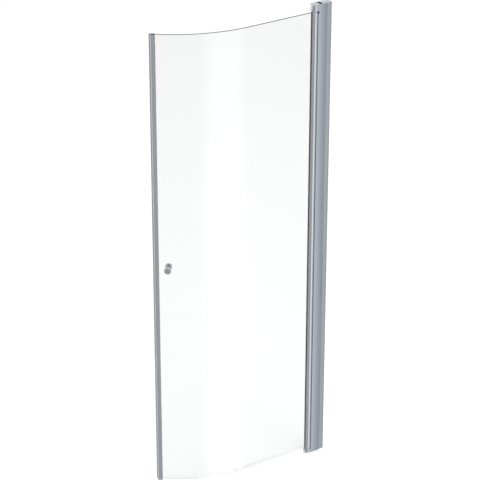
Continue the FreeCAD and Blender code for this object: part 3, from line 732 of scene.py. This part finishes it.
def on_pane_edge(face):
    """Whether a face lies across the pane, in its hole or on its edges, and isn't turned down."""
    centre = face.center.xy / MILLIMETRE
    inward = Vector((0, 1))
    if centre.x < -FLAT_RUN:
        inward = (Vector((-FLAT_RUN, BEND_RADIUS)) - centre).normalized()
    return abs(inward.dot(face.normal.xy)) < PANE_SLOPE and face.normal.z > -END_SLOPE


pane_flat = PANE_HALF - PANE_ARRIS
pane_section = [
    (-PANE_HALF, GLASS_LOW + PANE_ARRIS),
    (-pane_flat, GLASS_LOW),
    (pane_flat, GLASS_LOW),
    (PANE_HALF, GLASS_LOW + PANE_ARRIS),
    (PANE_HALF, GLASS_HIGH - PANE_ARRIS),
    (pane_flat, GLASS_HIGH),
    (-pane_flat, GLASS_HIGH),
    (-PANE_HALF, GLASS_HIGH - PANE_ARRIS),
]
knob_point, knob_inward = along_bend(turn_at(KNOB_SETBACK))
knob_hole = bmesh.new()
hole_middle = (*knob_point, KNOB_LEVEL)
add_rod(knob_hole, hole_middle, (*knob_inward, 0), KNOB_HOLE, KNOB_DRILL, KNOB_HOLE_SIDES)
pane_line = door_line(AXIS + PANE_SEAT, turn_at(PANE_END))
pane = new_piece(
    "bent_pane", sweep(pane_section, pane_line), clear_glass(),
    "door", "toughened_glass", "glass_panel", cutter=knob_hole,
)
pane.visible_shadow = False
refinish(pane, ground_edge(), on_pane_edge)

# Closing profile: the slim anodised extrusion pushed over the free edge of the pane, with
# bevels cut bright on its nose. Moulded plastic ends close it, a dark cap at the top and a
# grey piece at the foot.
EDGE_MIDDLE = 15
EDGE_FRONT, EDGE_BACK = -11, 8
BEVEL_BACK, BEVEL_HALF, EDGE_HALF = -7, 4, 6
CHANNEL_FLOOR, CHANNEL_HALF = -6, 4
STEM_FLOOR, STEM_HALF = -8, 1.5
EDGE_ROUND = 0.35
CAP_LOW, FOOT_LOW = 1966, 6
PLASTIC_DARK, PLASTIC_LIGHT = (0.10, 0.105, 0.115, 1), (0.14, 0.146, 0.157, 1)
FOOT_DARK, FOOT_LIGHT = (0.33, 0.35, 0.37, 1), (0.42, 0.44, 0.46, 1)
MOULDED_ROUGHNESS, TEXTURE_ROUGHNESS, MOULDED_RELIEF = 0.42, 0.14, 0.00003
CUT_DARK, CUT_LIGHT = (0.80, 0.82, 0.85, 1), (0.86, 0.88, 0.91, 1)
CUT_ROUGHNESS = 0.18


def moulded_plastic(name, dark, light):
    """Moulded plastic: a fine spark-eroded texture, even in colour."""
    material, shader, point = new_finish(name, Specular_IOR_Level=0.45)
    texture = point.noise(2600, detail=2)
    feed(
        shader,
        Base_Color=texture.spread().tint(dark, light),
        Roughness=MOULDED_ROUGHNESS + texture * TEXTURE_ROUGHNESS,
        Normal=texture.bump(MOULDED_RELIEF),
    )
    return material


edge_turn = turn_at(EDGE_MIDDLE)
edge_point, edge_inward = along_bend(edge_turn)
edge_along = Vector((math.cos(edge_turn), -math.sin(edge_turn)))


def at_edge(corners):
    """Plan points drawn about the free edge, with x along the pane, moved to their place."""
    return [(*(edge_point + edge_along * x + edge_inward * y), *rest) for x, y, *rest in corners]


def on_bevel(face):
    """Whether a face belongs to one of the two bevels."""
    offset = face.center.xy / MILLIMETRE - edge_point
    return offset.dot(edge_along) < BEVEL_BACK and abs(offset.dot(edge_inward)) > BEVEL_HALF


nose_corners = [(EDGE_FRONT, -BEVEL_HALF), (BEVEL_BACK, -EDGE_HALF), (EDGE_BACK, -EDGE_HALF)]
back_corners = [(x, -y) for x, y in reversed(nose_corners)]
channel_corners = [
    (EDGE_BACK, -CHANNEL_HALF),
    (CHANNEL_FLOOR, -CHANNEL_HALF),
    (CHANNEL_FLOOR, CHANNEL_HALF),
    (EDGE_BACK, CHANNEL_HALF),
]
stem_corners = [
    (EDGE_FRONT, STEM_HALF),
    (STEM_FLOOR, STEM_HALF),
    (STEM_FLOOR, -STEM_HALF),
    (EDGE_FRONT, -STEM_HALF),
]
closing_corners = nose_corners + channel_corners + back_corners + stem_corners
closing_outline = rounded(at_edge(closing_corners), EDGE_ROUND)
solid_outline = rounded(at_edge(nose_corners + back_corners), EDGE_ROUND)
dark_plastic = moulded_plastic("dark_plastic", PLASTIC_DARK, PLASTIC_LIGHT)
grey_plastic = moulded_plastic("grey_plastic", FOOT_DARK, FOOT_LIGHT)
closing = new_piece(
    "closing_extrusion", extrude([closing_outline], GLASS_LOW, CAP_LOW, SAWN_ARRIS), bright_and_socket_light,
    "door", "satin_aluminium", "closing_profile",
)
refinish(closing, aluminium("cut_aluminium", CUT_DARK, CUT_LIGHT, CUT_ROUGHNESS), on_bevel)
for name, outline, low, high, finish, node in (
    ("closing_cap", closing_outline, CAP_LOW, GLASS_HIGH, dark_plastic, "closing_top_cap"),
    ("closing_end", solid_outline, FOOT_LOW, GLASS_LOW, grey_plastic, "closing_foot"),
):
    end = extrude([outline], low, high, SAWN_ARRIS)
    new_piece(name, end, finish, "door", "grey_plastic", node)

# Magnet seal: a grey vinyl sleeve pressed into the nose of the closing profile, with a thin
# lip over both bevels. The flexible magnet inside it pulls the two doors of the corner
# together.
SLEEVE_BACK, SLEEVE_HALF = -11.1, 4
SLEEVE_STEM_FLOOR, SLEEVE_STEM_HALF = -8.1, 1.4
SLEEVE_SKIN = 0.8
SLEEVE_ROUND, SLEEVE_TIP_ROUND = 0.6, 0.2
SLEEVE_ROOT_ROUND, SLEEVE_STEM_ROUND = 0.2, 0.3
SLEEVE_ARRIS = 0.1
SLEEVE_LIP_REACH, SLEEVE_LIP_SKIN, SLEEVE_LIP_GAP = 2.8, 0.5, 0.05
GREY_VINYL_DARK, GREY_VINYL_LIGHT = (0.25, 0.259, 0.272, 1), (0.30, 0.309, 0.322, 1)
SOFT_ROUGHNESS, DRAG_ROUGHNESS, SOFT_RELIEF = 0.4, 0.15, 0.00004
MAGNET_DARK, MAGNET_LIGHT = (0.035, 0.028, 0.024, 1), (0.06, 0.05, 0.045, 1)


def soft_vinyl(name, dark, light):
    """Extruded soft vinyl: satin, with drag lines along its length."""
    material, shader, point = new_finish(name, Specular_IOR_Level=0.45)
    lines = point.drawn(0.01).noise(700, detail=2)
    feed(
        shader,
        Base_Color=lines.spread().tint(dark, light),
        Roughness=SOFT_ROUGHNESS + lines * DRAG_ROUGHNESS,
        Normal=lines.bump(SOFT_RELIEF),
    )
    return material


bevel = Vector((BEVEL_BACK - EDGE_FRONT, BEVEL_HALF - EDGE_HALF)).normalized()
bevel_start = Vector((EDGE_FRONT, -BEVEL_HALF))


def over_bevel(along, lift):
    """A point this far along the bevel of the closing profile and this far off it."""
    return bevel_start + bevel * along + Vector((bevel.y, -bevel.x)) * lift


lip_top = over_bevel(0, SLEEVE_LIP_SKIN)
lip_root = lip_top + bevel * (lip_top.y + SLEEVE_HALF) / -bevel.y
sleeve_half = [
    (-EDGE_MIDDLE, -SLEEVE_HALF),
    (*lip_root, SLEEVE_LIP_GAP),
    (*over_bevel(SLEEVE_LIP_REACH, SLEEVE_LIP_SKIN), SLEEVE_TIP_ROUND),
    (*over_bevel(SLEEVE_LIP_REACH, SLEEVE_LIP_GAP), 0),
    (SLEEVE_BACK, -SLEEVE_HALF, 0),
    (SLEEVE_BACK, -SLEEVE_STEM_HALF, SLEEVE_ROOT_ROUND),
    (SLEEVE_STEM_FLOOR, -SLEEVE_STEM_HALF, SLEEVE_STEM_ROUND),
]
sleeve_corners = sleeve_half + [(x, -y, *rest) for x, y, *rest in reversed(sleeve_half)]
magnet_back, magnet_half = SLEEVE_BACK - SLEEVE_SKIN, SLEEVE_HALF - SLEEVE_SKIN
magnet_corners = [
    (SLEEVE_SKIN - EDGE_MIDDLE, -magnet_half, 0),
    (magnet_back, -magnet_half, 0),
    (magnet_back, magnet_half, 0),
    (SLEEVE_SKIN - EDGE_MIDDLE, magnet_half, 0),
]
sleeve_shape = extrude(
    [rounded(at_edge(sleeve_corners), SLEEVE_ROUND), at_edge(magnet_corners)],
    GLASS_LOW, GLASS_HIGH, SLEEVE_ARRIS,
)
grey_vinyl = soft_vinyl("grey_vinyl", GREY_VINYL_DARK, GREY_VINYL_LIGHT)
new_piece("magnet_sleeve", sleeve_shape, grey_vinyl, "door", "grey_vinyl", "magnet_seal")
dress("magnet_strip", soft_vinyl("ferrite_strip", MAGNET_DARK, MAGNET_LIGHT))

# Clear vinyl: the sweep pushed up on the lower edge of the pane, with a wiping lip under
# it and a drip fin on the shower side, and the bedding in the closing profile.
SWEEP_START, SWEEP_END = -91, 24
SWEEP_INNER, SWEEP_OUTER = 3.05, 4.25
SWEEP_LOW, SWEEP_GRIP, SWEEP_FLOOR = 22, 39, 3
LIP_HALF, LIP_TIP, LIP_TRAIL = 0.7, 0.35, 0.8
FIN_REACH, FIN_TIP, FIN_DROP, FIN_ROOT = 8.25, 0.5, 0.6, 1.5
CLEAR_TINT = (0.96, 0.97, 0.97, 1)
CLEAR_ALPHA = 0.1
CLEAR_ROUGHNESS, CLEAR_LINES_ROUGHNESS, CLEAR_RELIEF = 0.1, 0.12, 0.00006


def clear_vinyl():
    """Clear vinyl: see-through but dull, with flow lines along its length."""
    material, shader, point = new_finish(
        "clear_vinyl", Base_Color=CLEAR_TINT, Transmission_Weight=1.0, IOR=1.53, Alpha=CLEAR_ALPHA
    )
    lines = point.drawn(4).noise(90, detail=3)
    roughness = CLEAR_ROUGHNESS + lines * CLEAR_LINES_ROUGHNESS
    feed(shader, Roughness=roughness, Normal=lines.bump(CLEAR_RELIEF))
    return material


sweep_section = [
    (LIP_TRAIL - LIP_TIP, SWEEP_FLOOR),
    (LIP_TRAIL + LIP_TIP, SWEEP_FLOOR),
    (LIP_HALF, SWEEP_LOW),
    (SWEEP_OUTER, SWEEP_LOW),
    (FIN_REACH, SWEEP_LOW - FIN_DROP),
    (FIN_REACH, SWEEP_LOW - FIN_DROP + FIN_TIP),
    (SWEEP_OUTER, SWEEP_LOW + FIN_ROOT),
    (SWEEP_OUTER, SWEEP_GRIP),
    (SWEEP_INNER, SWEEP_GRIP),
    (SWEEP_INNER, GLASS_LOW),
    (-SWEEP_INNER, GLASS_LOW),
    (-SWEEP_INNER, SWEEP_GRIP),
    (-SWEEP_OUTER, SWEEP_GRIP),
    (-SWEEP_OUTER, SWEEP_LOW),
    (-LIP_HALF, SWEEP_LOW),
]
clear = clear_vinyl()
bottom_sweep = new_piece(
    "bottom_sweep", sweep(sweep_section, door_line(SWEEP_START, turn_at(SWEEP_END))), clear,
    "door", "clear_vinyl", "bottom_seal",
)
bottom_sweep.visible_shadow = False
dress("edge_gasket", clear)

# Knobs: a pair of turned brass knobs, chrome plated, one each side of the pane. A stud
# through a vinyl sleeve joins them, and vinyl washers keep the metal off the glass.
KNOB_SEAT = 4.162
NECK_RADIUS, NECK_TOP = 6.5, 15.162
KNOB_RADIUS, KNOB_FACE = 14, 25.162
KNOB_ROUND, ROUND_FAR, ROUND_NEAR = 1.6, 0.75, 0.2
FLARE, FLARE_OUT, FLARE_DOWN = 1, 0.4, 0.2
DISH_RADIUS, DISH_DEPTH = 10, 1
DISH_RINGS = (1, 0.8, 0.6, 0.4, 0.2, 0)
KNOB_SIDES = 64
STUD_RADIUS, STUD_END = 3, 19.162
CHROME_DARK, CHROME_LIGHT = (0.50, 0.51, 0.53, 1), (0.62, 0.63, 0.65, 1)
CHROME_ROUGHNESS, HAZE_ROUGHNESS, HAIRLINE_ROUGHNESS = 0.08, 0.08, 0.04
CHROME_RELIEF = 0.000004


def polished_chrome():
    """Chrome plate: bright, with the faint haze and hairlines of wiping."""
    material, shader, point = new_finish("polished_chrome", Metallic=1.0)
    haze = point.noise(120, detail=3)
    hairlines = point.drawn(0.08).noise(3000, detail=2)
    feed(
        shader,
        Base_Color=haze.spread().tint(CHROME_DARK, CHROME_LIGHT),
        Roughness=CHROME_ROUGHNESS + haze * HAZE_ROUGHNESS + hairlines * HAIRLINE_ROUGHNESS,
        Normal=hairlines.bump(CHROME_RELIEF),
    )
    return material


def knob_form():
    """A knob on the z axis, with its face up and the hole for the stud in its foot."""
    profile = [
        (0, STUD_END),
        (STUD_RADIUS, STUD_END),
        (STUD_RADIUS, KNOB_SEAT),
        (NECK_RADIUS, KNOB_SEAT),
        (NECK_RADIUS, NECK_TOP - FLARE),
        (NECK_RADIUS + FLARE_OUT, NECK_TOP - FLARE_DOWN),
        (NECK_RADIUS + FLARE, NECK_TOP),
        (KNOB_RADIUS - KNOB_ROUND, NECK_TOP),
        (KNOB_RADIUS - ROUND_FAR, NECK_TOP + ROUND_NEAR),
        (KNOB_RADIUS - ROUND_NEAR, NECK_TOP + ROUND_FAR),
        (KNOB_RADIUS, NECK_TOP + KNOB_ROUND),
    ]
    profile += quarter(KNOB_RADIUS, KNOB_FACE, KNOB_ROUND)
    for share in DISH_RINGS:
        profile.append((DISH_RADIUS * share, KNOB_FACE - DISH_DEPTH * (1 - share * share)))
    return lathe(profile, KNOB_SIDES)


chrome = polished_chrome()
for name, node, side in (("room_knob", "outer_knob", -1), ("shower_knob", "inner_knob", 1)):
    knob = knob_form()
    outward = Vector((*(knob_inward * side), 0))
    turn = outward.to_track_quat("Z", "Y").to_matrix().to_4x4()
    knob.transform(Matrix.Translation(hole_middle) @ turn)
    new_piece(name, knob, chrome, "door", "polished_chrome", node)
dress("knob_stud", steel)
for soft in ("knob_sleeve", "knob_washers"):
    dress(soft, clear)

# Studio: a plain pale floor, lit from below as well and most of all near the door, so that its
# shadows stay faint. The metal and the glass reflect a grey surround, brighter overhead, with
# two tall soft boxes, one at the right of the camera and one at the far left.
FLOOR_REACH = 40
FLOOR_DARK, FLOOR_LIGHT = (0.49, 0.49, 0.49, 1), (0.51, 0.51, 0.51, 1)
GLOW_NEAR, GLOW_FAR, GLOW_REACH = (0.58, 0.58, 0.58, 1), (0.43, 0.43, 0.43, 1), 6
SURROUND, SURROUND_TINT = 0.53, (1, 1, 1, 1)
RIGHT_BOX, RIGHT_GAIN = (-18, 2, 16, 46), 0.82
LEFT_BOX, LEFT_GAIN = (-175, -150, -120, -82), 0.75
OVERHEAD_LOW, OVERHEAD_FULL, OVERHEAD_GAIN = -0.1, 0.3, 0.45
EYE = (-4.5623, -6.0935, 4.583)
EYE_TURN, EYE_DIP, EYE_ROLL = (math.radians(angle) for angle in (34.214, 25.38, 0.05))
EYE_LENS = 154.86

floor_shape = bmesh.new()
bmesh.ops.create_grid(floor_shape, x_segments=1, y_segments=1, size=FLOOR_REACH / MILLIMETRE)
floor = bpy.data.objects.new("floor", to_mesh("floor", floor_shape))
bpy.context.scene.collection.objects.link(floor)
floor.visible_glossy = False
floor_finish, floor_shader, floor_point = new_finish(
    "pale_floor", Roughness=0.8, Specular_IOR_Level=0.0, Emission_Strength=1.0
)
distance = floor_point.node(
    "ShaderNodeVectorMath", {"operation": "LENGTH"}, {0: floor_point}, "Value"
)
feed(
    floor_shader,
    Base_Color=floor_point.noise(3, detail=3).tint(FLOOR_DARK, FLOOR_LIGHT),
    Emission_Color=distance.spread(0, GLOW_REACH).tint(GLOW_NEAR, GLOW_FAR),
)
floor.data.materials.append(floor_finish)

studio = bpy.data.worlds.new("studio")
bpy.context.scene.world = studio
studio.use_nodes = True
surround = studio.node_tree.nodes["Background"]
direction = Tone(studio.node_tree.nodes.new("ShaderNodeTexCoord").outputs["Generated"])
across, behind, above = (
    direction.node("ShaderNodeSeparateXYZ", {}, {0: direction}, axis) for axis in "XYZ"
)
bearing = direction.math("ARCTAN2", across, 0 - behind)


def rise(value, low, high):
    """A soft step from nought to one as the value goes from low to high."""
    return value.node(
        "ShaderNodeMapRange", {"interpolation_type": "SMOOTHSTEP"},
        {"Value": value, "From Min": low, "From Max": high},
    )


def soft_box(start, full, fade, stop):
    """Light that rises and fades between bearings in degrees, nought in front."""
    edges = [math.radians(angle) for angle in (start, full, fade, stop)]
    return rise(bearing, *edges[:2]) * (1 - rise(bearing, *edges[2:]))


overhead = rise(above, OVERHEAD_LOW, OVERHEAD_FULL) * OVERHEAD_GAIN
boxes = soft_box(*RIGHT_BOX) * RIGHT_GAIN + soft_box(*LEFT_BOX) * LEFT_GAIN
feed(surround, Strength=SURROUND + boxes + overhead)
surround.inputs["Color"].default_value = SURROUND_TINT

eye = bpy.data.cameras.new("eye")
eye.lens = EYE_LENS
viewer = bpy.data.objects.new("eye", eye)
viewer.location = EYE
aim = Matrix.Rotation(-EYE_TURN, 3, "Z") @ Matrix.Rotation(math.pi / 2 - EYE_DIP, 3, "X")
viewer.rotation_euler = (aim @ Matrix.Rotation(EYE_ROLL, 3, "Z")).to_euler()
bpy.context.scene.collection.objects.link(viewer)
bpy.context.scene.camera = viewer
bpy.context.scene.view_settings.view_transform = "Standard"
